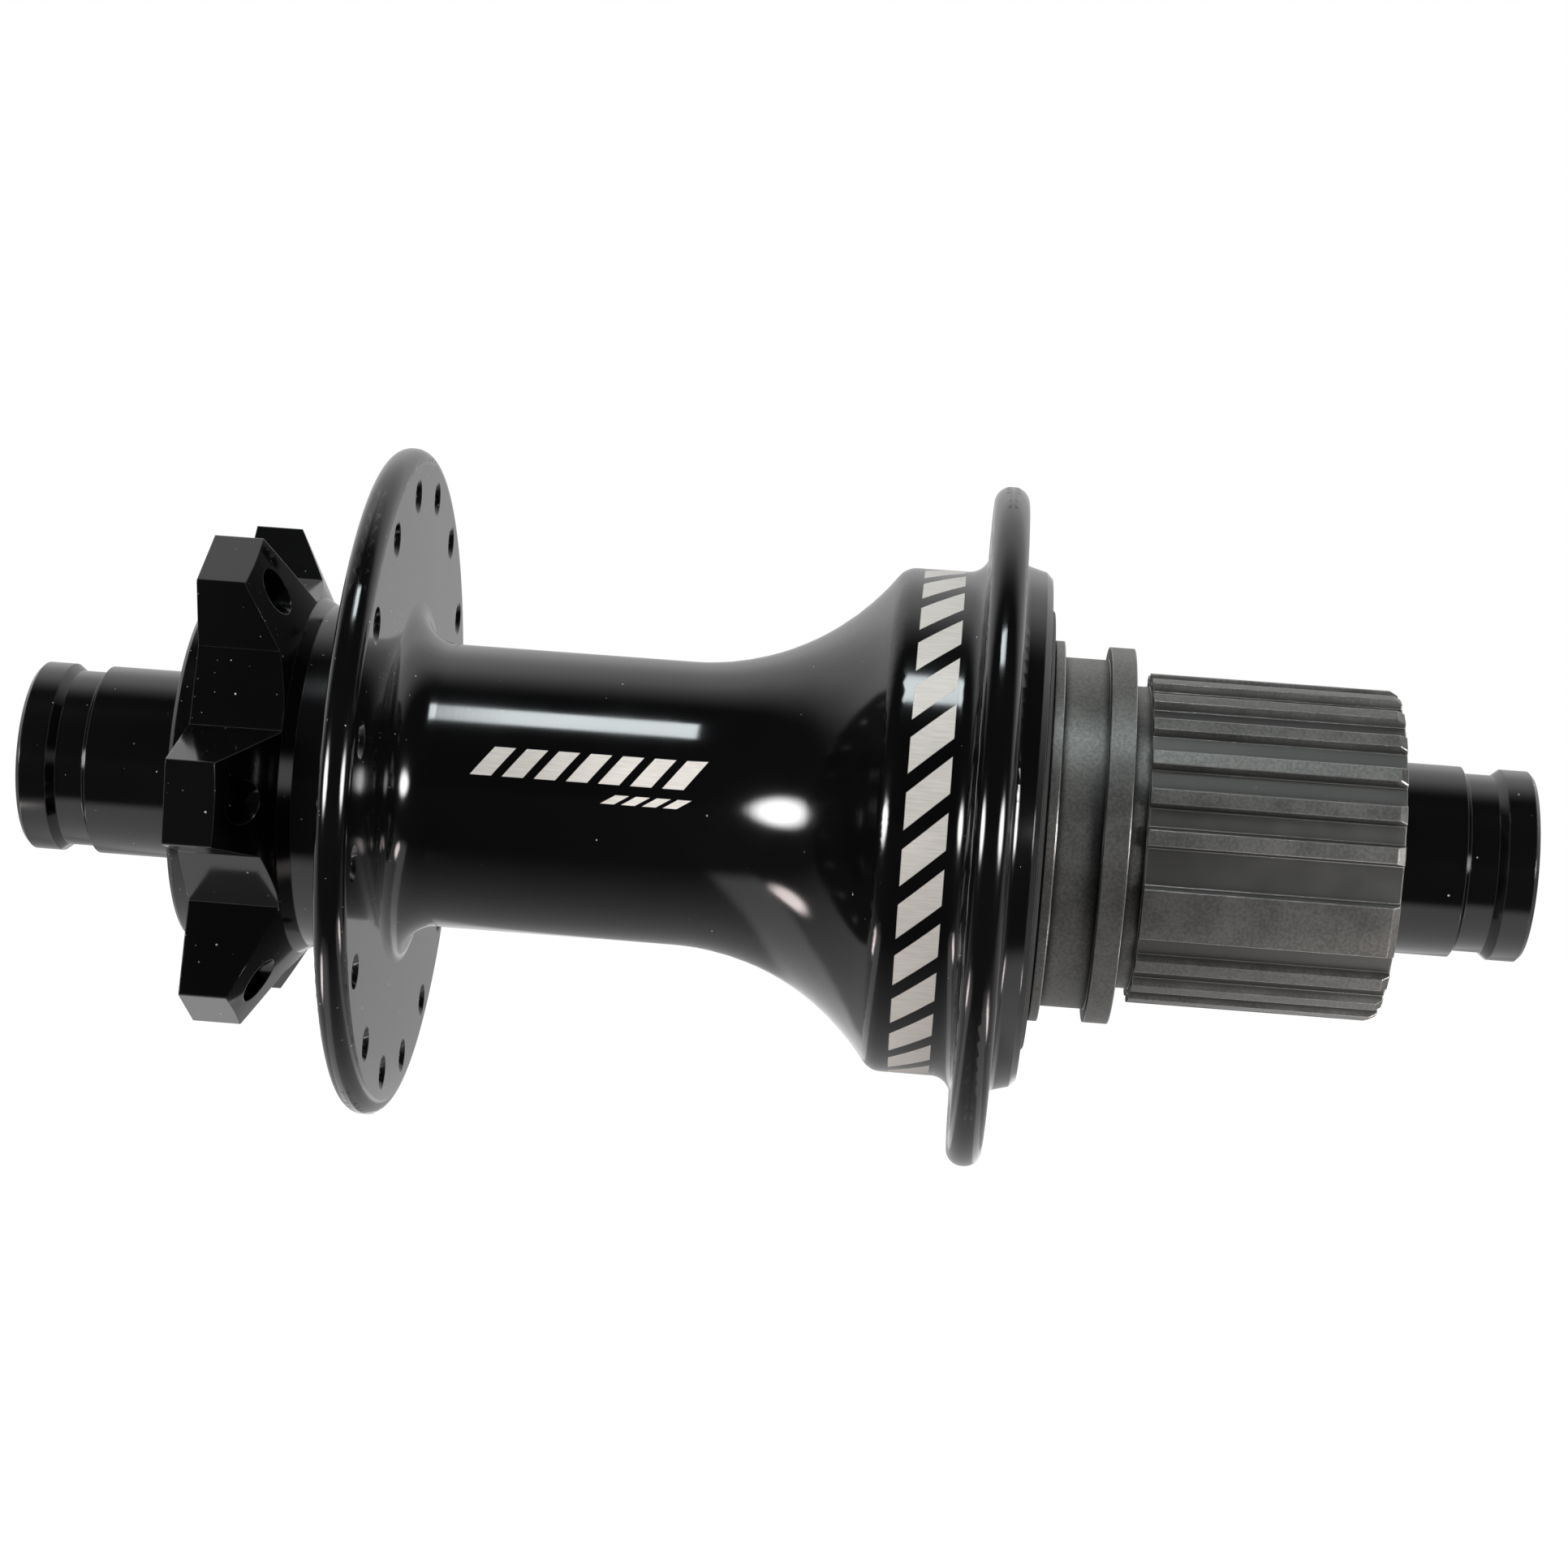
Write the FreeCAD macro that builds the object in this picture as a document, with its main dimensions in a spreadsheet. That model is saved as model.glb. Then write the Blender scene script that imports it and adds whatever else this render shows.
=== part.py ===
import FreeCAD, Part
import math
import os
import Sketcher

# Rear bicycle hub, twelve millimetre through axle, six-bolt disc side and splined freehub.
# Frame: origin at the middle of the hub on its axis, +Y along the axis to the disc side,
# +Z up, +X forward. Lengths are millimetres, angles are degrees.
# A radius is a distance from the axis; a "station" is a place along the axis.

doc = FreeCAD.newDocument("bicycle_hub")

DIMENSIONS = [
    # Axle and end caps
    ("cap_face", 74.0, "outer face of each end cap, from the middle"),
    ("bore_radius", 6.05, "through-axle bore"),
    ("axle_end", 66.0, "end of the axle tube, from the middle"),
    ("axle_seat_radius", 7.49, "bearing seats on the axle"),
    ("axle_waist_radius", 8.8, "thick middle of the axle"),
    ("slip_gap", 0.02, "radial play of end caps and spacers on the axle"),
    ("press_gap", 0.01, "radial play of parts pressed into a bore"),
    ("edge_break", 0.4, "small chamfer on turned edges"),
    ("cap_radius", 9.4, "outer radius of an end cap"),
    ("cap_groove_radius", 8.75, "tool groove of an end cap"),
    ("cap_lip_start", 71.0, "inner end of the end-cap lip"),
    ("cap_groove_outer", 70.2, "outer edge of the tool groove"),
    ("cap_groove_inner", 67.5, "inner edge of the tool groove"),
    ("cap_sleeve_end", 67.1, "outer end of the plain sleeve"),
    ("cap_nose_radius", 8.9, "nose that presses on a bearing"),
    ("cap_nose_length", 0.6, "length of that nose"),
    ("ring_groove_radius", 8.6, "bottom of the o-ring groove in a cap"),
    ("ring_groove_station", 61.3, "middle of the o-ring groove"),
    ("ring_groove_width", 1.4, "width of the o-ring groove"),
    ("ring_section_radius", 0.53, "section of an o-ring"),
    ("dust_flange_radius", 11.5, "dust flange of the drive-side cap"),
    ("dust_flange_inner", 56.5, "inner face of that flange"),
    ("dust_flange_outer", 58.0, "outer face of that flange"),
    # Stations of the bearings, measured from the middle
    ("disc_bearing_inner", 45.0, "inner face of the disc-side bearing"),
    ("drive_bearing_inner", 3.0, "inner face of the drive-side shell bearing"),
    ("shell_bearing_width", 7.0, "bearing 15 x 28 x 7"),
    ("inboard_bearing_inner", 15.0, "inner face of the inboard freehub bearing"),
    ("outboard_bearing_inner", 49.0, "inner face of the outboard freehub bearing"),
    ("freehub_bearing_width", 5.0, "bearing 15 x 24 x 5"),
    ("race_bore_radius", 7.5, "bore of every inner race"),
    ("shell_seat_radius", 14.0, "bearing seats in the shell"),
    ("freehub_seat_radius", 12.0, "bearing seats in the freehub body"),
    ("shell_pitch_radius", 10.75, "ball circle of a shell bearing"),
    ("shell_ball_radius", 1.95, "ball of a shell bearing"),
    ("shell_inner_shoulder", 9.6, "outer radius of its inner race"),
    ("shell_outer_shoulder", 11.95, "inner radius of its outer race"),
    ("freehub_pitch_radius", 9.75, "ball circle of a freehub bearing"),
    ("freehub_ball_radius", 1.15, "ball of a freehub bearing"),
    ("freehub_inner_shoulder", 9.05, "outer radius of its inner race"),
    ("freehub_outer_shoulder", 10.5, "inner radius of its outer race"),
    ("ball_gap", 0.06, "play between a ball and its track or cage"),
    ("cage_half_height", 0.35, "half the radial height of a ball cage"),
    ("cage_edge", 0.5, "cage left beside each ball pocket"),
    ("seal_thickness", 0.4, "bearing seal"),
    ("seal_inset", 0.2, "bearing seal below the race face"),
    ("seal_gap", 0.1, "play of a seal over the inner race"),
    ("spacer_wall_radius", 9.0, "outer radius of the spacers"),
    # Shell
    ("pilot_end", 57.0, "disc-side end of the shell"),
    ("pilot_radius", 17.5, "rotor pilot"),
    ("rotor_face", 55.2, "plane that the brake rotor rests on"),
    ("barrel_radius", 17.1, "shell between lugs and disc-side flange"),
    ("barrel_start", 45.0, "disc-side end of the barrel"),
    ("shell_bore_radius", 11.5, "bore of the shell between its bearings"),
    ("tube_radius", 14.15, "slim tube between the flanges"),
    ("disc_flange_station", 38.1, "middle of the disc-side flange"),
    ("disc_flange_radius", 33.25, "disc-side flange"),
    ("disc_half_thickness", 1.55, "half the thickness of the disc-side flange"),
    ("disc_rim_fillet", 1.45, "rounded rim of the disc-side flange"),
    ("drive_flange_station", 21.27, "middle of the drive-side flange"),
    ("drive_flange_radius", 33.6, "drive-side flange"),
    ("drive_half_thickness", 1.72, "half the thickness of the drive-side flange"),
    ("drive_rim_fillet", 1.62, "rounded rim of the drive-side flange"),
    ("disc_root_fillet", 4.0, "tube into the disc-side flange"),
    ("barrel_fillet", 1.2, "barrel into the disc-side flange"),
    ("drum_root_fillet", 2.0, "drum into the drive-side flange"),
    ("collar_fillet", 0.9, "collar into the drive-side flange"),
    ("collar_break", 0.6, "chamfer on the end of the collar"),
    ("flare_corner_station", 3.46, "where the tube and the flare cone would meet"),
    ("flare_fillet", 24.5, "large sweep from the tube to the flare"),
    ("drum_start", 11.4, "where the flare cone would meet the drum"),
    ("drum_fillet", 2.3, "flare into the drum"),
    ("drum_radius", 25.0, "drum around the ratchet"),
    ("collar_root_radius", 26.1, "tapered collar, where it meets the drive-side flange"),
    ("collar_radius", 25.5, "tapered collar, at its outer end"),
    ("shell_end", 25.8, "drive-side end of the shell"),
    ("cavity_radius", 22.0, "room for the ratchet ring"),
    ("cavity_start", 13.5, "inner end of that room"),
    # Rotor lugs
    ("lug_count", 6, "rotor lugs"),
    ("lug_angle", -8.0, "turn of the first lug"),
    ("lug_blank_radius", 25.9, "turned blank that the lugs are cut from"),
    ("lug_back_tip", 50.67, "back of that blank at its outside"),
    ("lug_foot_radius", 17.8, "foot of the blank's sloping back"),
    ("lug_foot_station", 46.2, "station of that foot"),
    ("lug_tip_radius", 25.4, "flat outer end of a lug"),
    ("lug_half_width", 4.0, "half the width of a lug at its tip"),
    ("gap_near_out", 16.54, "near end of a gap's floor, outward from the axis along a lug"),
    ("gap_near_across", 6.31, "the same place, across that lug"),
    ("gap_far_out", 14.31, "far end of a gap's floor, outward along the same lug"),
    ("gap_far_across", 13.63, "the same place, across that lug"),
    ("gap_overlap", 0.5, "how far a gap's cutter reaches over the middle of a lug"),
    ("gap_outside", 32.0, "outer end of a gap's cutter"),
    ("gap_end", 46.3, "inner end of the gaps"),
    ("lug_tip_fillet", 0.3, "broken corners of a lug"),
    ("bolt_circle_radius", 22.0, "rotor bolt circle, 44 across"),
    ("bolt_hole_radius", 2.1, "tapping size of a rotor bolt"),
    # Spoke holes
    ("spoke_count", 16, "spoke holes in each flange"),
    ("disc_spoke_circle", 29.0, "radius of the disc-side spoke hole circle"),
    ("drive_spoke_circle", 29.6, "radius of the drive-side spoke hole circle"),
    ("spoke_hole_radius", 1.3, "spoke hole"),
    ("spoke_sink", 0.45, "countersink of a spoke hole"),
    ("disc_spoke_angle", 6.85, "turn of the first disc-side spoke hole"),
    ("drive_spoke_angle", 18.1, "turn of the first drive-side spoke hole"),
    # Freehub body
    ("carrier_start", 14.0, "inner end of the pawl carrier"),
    ("carrier_end", 24.0, "outer end of the pawl carrier"),
    ("carrier_radius", 18.9, "pawl carrier"),
    ("neck_radius", 17.35, "neck under the mouth seal"),
    ("shoulder_start", 26.6, "inner face of the dust shoulder"),
    ("shoulder_end", 27.5, "outer face of the dust shoulder"),
    ("shoulder_radius", 18.85, "dust shoulder"),
    ("hub_cone_radius", 17.3, "plain cylinder outside the dust shoulder"),
    ("stop_start", 32.0, "inner face of the cassette stop"),
    ("stop_end", 34.4, "outer face of the cassette stop"),
    ("stop_radius", 18.6, "cassette stop"),
    ("relief_radius", 14.95, "relief groove beside the splines"),
    ("spline_start", 36.2, "inner end of the splines"),
    ("spline_end", 60.3, "outer end of the splines"),
    ("spline_tip_radius", 16.3, "top of a spline"),
    ("spline_root_radius", 15.45, "bottom between splines"),
    ("spline_break", 0.7, "chamfer on the splines' outer end"),
    ("spline_pitch", 14.09, "angle from one narrow spline to the next"),
    ("narrow_grooves", 22, "equal grooves between narrow splines"),
    ("first_groove_angle", 172.5, "turn of the first equal groove"),
    ("narrow_groove_width", 2.6, "equal groove, at the tip radius"),
    ("index_groove_width", 4.4, "wide groove above the index spline"),
    ("index_groove_angle", 189.8, "turn of that groove"),
    ("lower_groove_width", 3.0, "groove below the index spline"),
    ("lower_groove_angle", 221.2, "turn of that groove"),
    ("groove_flank", 0.42, "how far each side of a groove slopes in"),
    ("freehub_bore_radius", 11.2, "bore between the freehub bearings"),
    ("mouth_start", 55.5, "inner end of the lockring thread"),
    ("mouth_radius", 13.6, "lockring thread, minor radius"),
    ("clip_groove_radius", 12.9, "bottom of the circlip groove"),
    ("clip_groove_start", 54.1, "inner face of the circlip groove"),
    ("clip_thickness", 0.9, "circlip"),
    ("clip_inner_radius", 11.3, "circlip, inside"),
    ("clip_sweep", 318.0, "angle that the circlip covers"),
    # Ratchet
    ("tooth_count", 24, "teeth of the ratchet ring"),
    ("ring_start", 15.5, "inner face of the ratchet ring"),
    ("tooth_tip_radius", 19.5, "top of a ratchet tooth"),
    ("pawl_count", 3, "pawls"),
    ("pivot_radius", 16.6, "pawl pivots"),
    ("heel_radius", 1.9, "round heel of a pawl"),
    ("heel_gap", 0.08, "play of the heel in its socket"),
    ("pawl_start", 15.9, "inner face of a pawl"),
    ("pawl_end", 23.6, "outer face of a pawl"),
    ("pawl_room_start", 15.6, "inner end of a pawl pocket"),
    # Seals
    ("mouth_seal_start", 24.3, "inner face of the drive-side seal"),
    ("mouth_seal_end", 26.3, "outer face of the drive-side seal"),
    ("mouth_seal_lip", 17.43, "lip of the drive-side seal"),
    ("mouth_seal_dish", 19.6, "raised face of the drive-side seal"),
    ("end_seal_start", 53.2, "inner face of the disc-side seal"),
    ("end_seal_end", 56.3, "outer face of the disc-side seal"),
    ("end_seal_lip", 9.48, "lip of the disc-side seal"),
    ("lip_setback", 0.5, "lip edge behind a seal's face"),
    ("lip_height", 1.1, "sloping inner face of a lip"),
    ("lip_width", 0.8, "blunt outer face of a lip"),
    ("seal_heel", 0.3, "chamfer where a seal enters its bore"),
]

SHELL_BALLS = 11
FREEHUB_BALLS = 15
PAWLS = 3

# Outlines across the ratchet, drawn with a pawl pivot on the x line. Each corner is (x, y).
PAWL_ARM = [
    ("18.45", "0.30"),
    ("17.70", "-6.91"),
    ("15.92", "-7.20"),
    ("14.75", "-0.30"),
]
ARM_SLOT = [
    ("17.2", "1.0"),
    ("19.6", "1.0"),
    ("19.6", "-7.6"),
    ("15.1", "-7.6"),
    ("14.2", "-2.2"),
    ("14.9", "-0.6"),
]
SPRING_LEAF = [
    ("14.36", "-2.95"),
    ("14.58", "-2.95"),
    ("15.35", "-6.60"),
    ("15.10", "-6.60"),
]
TOOTH_VALLEY = [
    ("19.62", "-6.60"),
    ("17.85", "-7.26"),
    ("19.17", "-2.22"),
]

sheet = doc.addObject("Spreadsheet::Sheet", "hub")
for row, (alias, value, meaning) in enumerate(DIMENSIONS, start=1):
    sheet.set(f"A{row}", alias)
    sheet.set(f"B{row}", str(value))
    sheet.set(f"C{row}", meaning)
    sheet.setAlias(f"B{row}", alias)
doc.recompute()

made = []


def number(expression):
    """Number that an expression on the sheet has now."""
    return float(sheet.evalExpression(expression))


def new_body(label):
    """Empty body; its label names its file."""
    body = doc.addObject("PartDesign::Body", label)
    body.Label = label
    made.append(body)
    return body


def origin_feature(body, role):
    """Plane or axis of a body's own origin."""
    return [item for item in body.Origin.OriginFeatures if item.Role == role][0]


def new_sketch(body, name, plane, offset=None):
    """Empty sketch on one of the body's own planes."""
    sketch = body.newObject("Sketcher::SketchObject", f"{body.Name}_{name}")
    sketch.AttachmentSupport = [(origin_feature(body, plane), "")]
    sketch.MapMode = "FlatFace"
    if offset is not None:
        sketch.AttachmentOffset = offset
    return sketch


def bind(sketch, constraint, name, expression):
    """Add a named constraint whose value follows the sheet."""
    index = sketch.addConstraint(constraint)
    sketch.renameConstraint(index, name)
    sketch.setExpression(f"Constraints.{name}", expression)


def outline(sketch, corners):
    """Closed outline of straight edges; each corner is two expressions on the sheet."""
    places = [FreeCAD.Vector(number(x), number(y), 0) for x, y in corners]
    count = len(places)
    edges = [Part.LineSegment(places[i], places[(i + 1) % count]) for i in range(count)]
    sketch.addGeometry(edges, False)
    joins = [Sketcher.Constraint("Coincident", i, 2, (i + 1) % count, 1) for i in range(count)]
    sketch.addConstraint(joins)
    for i, (x, y) in enumerate(corners):
        bind(sketch, Sketcher.Constraint("DistanceX", -1, 1, i, 1, places[i].x), f"across{i}", x)
        bind(sketch, Sketcher.Constraint("DistanceY", -1, 1, i, 1, places[i].y), f"along{i}", y)


def circle(sketch, x, y, radius):
    """Circle whose centre and radius follow the sheet."""
    centre = FreeCAD.Vector(number(x), number(y), 0)
    edge = sketch.addGeometry(Part.Circle(centre, FreeCAD.Vector(0, 0, 1), number(radius)), False)
    bind(sketch, Sketcher.Constraint("DistanceX", -1, 1, edge, 3, centre.x), "centre_across", x)
    bind(sketch, Sketcher.Constraint("DistanceY", -1, 1, edge, 3, centre.y), "centre_along", y)
    bind(sketch, Sketcher.Constraint("Radius", edge, number(radius)), "size", radius)


def turned(label, corners, sweep=None):
    """Body turned about the hub axis from an outline of (radius, station) corners."""
    body = new_body(label)
    sketch = new_sketch(body, "profile", "XY_Plane")
    outline(sketch, corners)
    feature = body.newObject("PartDesign::Revolution", f"{label}_turning")
    feature.Profile = sketch
    feature.ReferenceAxis = (sketch, ["V_Axis"])
    feature.Angle = 360.0
    if sweep is not None:
        feature.setExpression("Angle", sweep)
    body.Tip = feature
    return body


def around(body, name, features, count, extent="360"):
    """Repeat features about the hub axis."""
    pattern = body.newObject("PartDesign::PolarPattern", f"{body.Name}_{name}")
    pattern.Originals = features
    pattern.Axis = (origin_feature(body, "Y_Axis"), [""])
    pattern.setExpression("Angle", extent)
    pattern.setExpression("Occurrences", count)
    body.Tip = pattern
    return pattern


def ring_edges(shape, places):
    """Names of the circular edges at the given (radius, station) places."""
    names = []
    for radius, station in places:
        for i, edge in enumerate(shape.Edges, start=1):
            curve = edge.Curve
            if not isinstance(curve, Part.Circle):
                continue
            close = abs(curve.Radius - number(radius)) < 1e-4
            if close and abs(curve.Center.y - number(station)) < 1e-4:
                names.append(f"Edge{i}")
    return names


def round_edges(body, name, edges, size):
    """Fillet on named edges of the body's last feature."""
    base = body.Tip
    fillet = body.newObject("PartDesign::Fillet", f"{body.Name}_{name}")
    fillet.Base = (base, edges)
    fillet.setExpression("Radius", size)
    body.Tip = fillet
    doc.recompute()
    return fillet


def turn_about_axis(angle):
    """Sketch offset that swings a radius-and-station sketch about the hub axis."""
    return FreeCAD.Placement(FreeCAD.Vector(), FreeCAD.Rotation(FreeCAD.Vector(0, 1, 0), number(angle)))


def cut_across(body, name, corners, first, last, turn="0"):
    """Pocket of a cross-section outline, cut between two drive-side stations."""
    sketch = cross_sketch(body, name, first, turn)
    outline(sketch, corners)
    return pocket(body, name, sketch, f"{last} - ({first})")


def cross_sketch(body, name, station, turn="0"):
    """Sketch across the axis at a drive-side station: its x is X, its y is Z."""
    rotation = FreeCAD.Rotation(FreeCAD.Vector(0, 0, 1), number(turn))
    offset = FreeCAD.Placement(FreeCAD.Vector(0, 0, number(station)), rotation)
    sketch = new_sketch(body, name, "XZ_Plane", offset)
    sketch.setExpression("AttachmentOffset.Base.z", station)
    return sketch


def pocket(body, name, sketch, depth):
    """Cut a cross sketch toward the drive side."""
    feature = body.newObject("PartDesign::Pocket", f"{body.Name}_{name}_cut")
    feature.Profile = sketch
    feature.Reversed = True
    feature.setExpression("Length", depth)
    body.Tip = feature
    return feature


def axle():
    """Tube that the frame's through axle passes; its shoulders locate the shell bearings."""
    disc_shoulder = "hub.disc_bearing_inner"
    drive_shoulder = "-hub.drive_bearing_inner"
    break_radius = "hub.axle_seat_radius - hub.edge_break"
    turned("axle", [
        ("hub.bore_radius", "-hub.axle_end"),
        (break_radius, "-hub.axle_end"),
        ("hub.axle_seat_radius", "hub.edge_break - hub.axle_end"),
        ("hub.axle_seat_radius", drive_shoulder),
        ("hub.axle_waist_radius", drive_shoulder),
        ("hub.axle_waist_radius", disc_shoulder),
        ("hub.axle_seat_radius", disc_shoulder),
        ("hub.axle_seat_radius", "hub.axle_end - hub.edge_break"),
        (break_radius, "hub.axle_end"),
        ("hub.bore_radius", "hub.axle_end"),
    ])


def end_cap(label, side, nose, flange):
    """Pull-off end cap; side is 1 for the disc side and -1 for the drive side."""
    inside = "hub.race_bore_radius + hub.slip_gap"
    groove_low = "hub.ring_groove_station - hub.ring_groove_width / 2"
    groove_high = "hub.ring_groove_station + hub.ring_groove_width / 2"
    corners = [
        (inside, nose),
        ("hub.cap_nose_radius", nose),
        ("hub.cap_nose_radius", f"{nose} + hub.cap_nose_length"),
        ("hub.cap_radius", f"{nose} + 2 * hub.cap_nose_length"),
    ]
    corners += flange
    corners += [
        ("hub.cap_radius", "hub.cap_sleeve_end"),
        ("hub.cap_groove_radius", "hub.cap_groove_inner"),
        ("hub.cap_groove_radius", "hub.cap_groove_outer"),
        ("hub.cap_radius", "hub.cap_lip_start"),
        ("hub.cap_radius", "hub.cap_face - hub.edge_break"),
        ("hub.cap_radius - hub.edge_break", "hub.cap_face"),
        ("hub.bore_radius + hub.edge_break", "hub.cap_face"),
        ("hub.bore_radius", "hub.cap_face - hub.edge_break"),
        ("hub.bore_radius", "hub.axle_end + hub.slip_gap"),
        (inside, "hub.axle_end + hub.slip_gap"),
        (inside, groove_high),
        ("hub.ring_groove_radius", groove_high),
        ("hub.ring_groove_radius", groove_low),
        (inside, groove_low),
    ]
    turned(label, [(radius, f"{side} * ({station})") for radius, station in corners])


def end_caps():
    """Both end caps; the drive-side one carries a dust flange inside the lockring thread."""
    bearing_end = "hub.disc_bearing_inner + hub.shell_bearing_width"
    end_cap("disc_end_cap", 1, bearing_end, [])
    outboard_end = "hub.outboard_bearing_inner + hub.freehub_bearing_width"
    dust_flange = [
        ("hub.cap_radius", "hub.dust_flange_inner"),
        ("hub.dust_flange_radius", "hub.dust_flange_inner"),
        ("hub.dust_flange_radius", "hub.dust_flange_outer"),
        ("hub.cap_radius", "hub.dust_flange_outer"),
    ]
    end_cap("drive_end_cap", -1, outboard_end, dust_flange)


def cap_o_rings():
    """One rubber ring inside each end cap, which grips the axle end."""
    rings = []
    for side in (1, -1):
        ring = doc.addObject("Part::Torus", "o_ring")
        ring.setExpression("Radius1", "hub.race_bore_radius + hub.slip_gap + hub.ring_section_radius")
        ring.setExpression("Radius2", "hub.ring_section_radius")
        ring.Placement.Rotation = FreeCAD.Rotation(FreeCAD.Vector(1, 0, 0), 90)
        ring.setExpression("Placement.Base.y", f"{side} * hub.ring_groove_station")
        rings.append(ring)
    group("end_cap_o_rings", rings)


def group(label, members):
    """Several separate solids that share one node."""
    compound = doc.addObject("Part::Compound", label)
    compound.Label = label
    compound.Links = members
    made.append(compound)


def spacers():
    """Sleeves on the axle that keep the drive-side bearings apart."""
    inside = "hub.race_bore_radius + hub.slip_gap"
    stations = [
        ("short_spacer", "hub.drive_bearing_inner + hub.shell_bearing_width", "hub.inboard_bearing_inner"),
        (
            "long_spacer",
            "hub.inboard_bearing_inner + hub.freehub_bearing_width",
            "hub.outboard_bearing_inner",
        ),
    ]
    for label, first, last in stations:
        turned(label, [
            (inside, f"-({first})"),
            ("hub.spacer_wall_radius", f"-({first})"),
            ("hub.spacer_wall_radius", f"-({last})"),
            (inside, f"-({last})"),
        ])


def bearing(prefix, size, seat, first, width, ball_count):
    """Cartridge bearing: two races, balls, cage and a pair of seals, from station first on."""
    middle = f"({first} + {width} / 2)"
    last = f"({first} + {width})"
    pitch = f"hub.{size}_pitch_radius"
    ball = f"hub.{size}_ball_radius"
    inner_shoulder = f"hub.{size}_inner_shoulder"
    outer_shoulder = f"hub.{size}_outer_shoulder"
    track = f"{ball} + hub.ball_gap"
    race(f"{prefix}_inner_race", "hub.race_bore_radius", inner_shoulder, first, last, pitch, track)
    race(f"{prefix}_outer_race", outer_shoulder, f"{seat} - hub.press_gap", first, last, pitch, track)
    balls(f"{prefix}_balls", pitch, ball, middle, ball_count)
    cage(f"{prefix}_cage", pitch, track, middle, ball_count)
    bearing_seals(f"{prefix}_seals", inner_shoulder, outer_shoulder, first, last)


def race(label, inside, outside, first, last, pitch, track):
    """Race with its ball track turned into one side."""
    body = turned(label, [(inside, first), (outside, first), (outside, last), (inside, last)])
    sketch = new_sketch(body, "track", "XY_Plane")
    circle(sketch, pitch, f"({first} + {last}) / 2", track)
    groove = body.newObject("PartDesign::Groove", f"{label}_track_cut")
    groove.Profile = sketch
    groove.ReferenceAxis = (sketch, ["V_Axis"])
    groove.Angle = 360.0
    body.Tip = groove


def balls(label, pitch, ball, middle, ball_count):
    """Ring of steel balls."""
    members = []
    for i in range(ball_count):
        turn = f"360 * {i} / {ball_count}"
        member = doc.addObject("Part::Sphere", "ball")
        member.setExpression("Radius", ball)
        member.setExpression("Placement.Base.x", f"{pitch} * cos({turn})")
        member.setExpression("Placement.Base.y", middle)
        member.setExpression("Placement.Base.z", f"{pitch} * sin({turn})")
        members.append(member)
    group(label, members)


def cage(label, pitch, track, middle, ball_count):
    """Ring that keeps the balls apart, drilled through for each ball."""
    inside = f"{pitch} - hub.cage_half_height"
    outside = f"{pitch} + hub.cage_half_height"
    low = f"{middle} - {track} - hub.cage_edge"
    high = f"{middle} + {track} + hub.cage_edge"
    body = turned(label, [(inside, low), (outside, low), (outside, high), (inside, high)])
    sketch = new_sketch(body, "ball_hole", "YZ_Plane")
    circle(sketch, middle, "0", track)
    hole = body.newObject("PartDesign::Pocket", f"{label}_ball_hole_cut")
    hole.Profile = sketch
    hole.Reversed = True
    hole.setExpression("Length", f"{pitch} * 2")
    body.Tip = hole
    around(body, "ball_holes", [hole], str(ball_count))


def bearing_seals(label, inner_shoulder, outer_shoulder, first, last):
    """Pair of thin seals, one in each end of a bearing."""
    inside = f"{inner_shoulder} + hub.seal_gap"
    pair = []
    for start in (f"{first} + hub.seal_inset", f"{last} - hub.seal_inset - hub.seal_thickness"):
        plate = doc.addObject("Part::Cylinder", "seal_plate")
        plate.setExpression("Radius", f"{outer_shoulder} - hub.press_gap")
        bore = doc.addObject("Part::Cylinder", "seal_bore")
        bore.setExpression("Radius", inside)
        for disc in (plate, bore):
            disc.setExpression("Height", "hub.seal_thickness")
            disc.Placement.Rotation = FreeCAD.Rotation(FreeCAD.Vector(1, 0, 0), -90)
            disc.setExpression("Placement.Base.y", start)
        washer = doc.addObject("Part::Cut", "seal_washer")
        washer.Base = plate
        washer.Tool = bore
        pair.append(washer)
    group(label, pair)


def bearings():
    """Two bearings carry the shell and two carry the freehub body."""
    wide = "hub.shell_bearing_width"
    slim = "hub.freehub_bearing_width"
    shell_seat = "hub.shell_seat_radius"
    freehub_seat = "hub.freehub_seat_radius"
    bearing("disc_bearing", "shell", shell_seat, "hub.disc_bearing_inner", wide, SHELL_BALLS)
    bearing("drive_bearing", "shell", shell_seat, f"-(hub.drive_bearing_inner + {wide})", wide, SHELL_BALLS)
    bearing("inboard_bearing", "freehub", freehub_seat, f"-(hub.inboard_bearing_inner + {slim})", slim,
            FREEHUB_BALLS)
    bearing("outboard_bearing", "freehub", freehub_seat, f"-(hub.outboard_bearing_inner + {slim})", slim,
            FREEHUB_BALLS)


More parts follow.
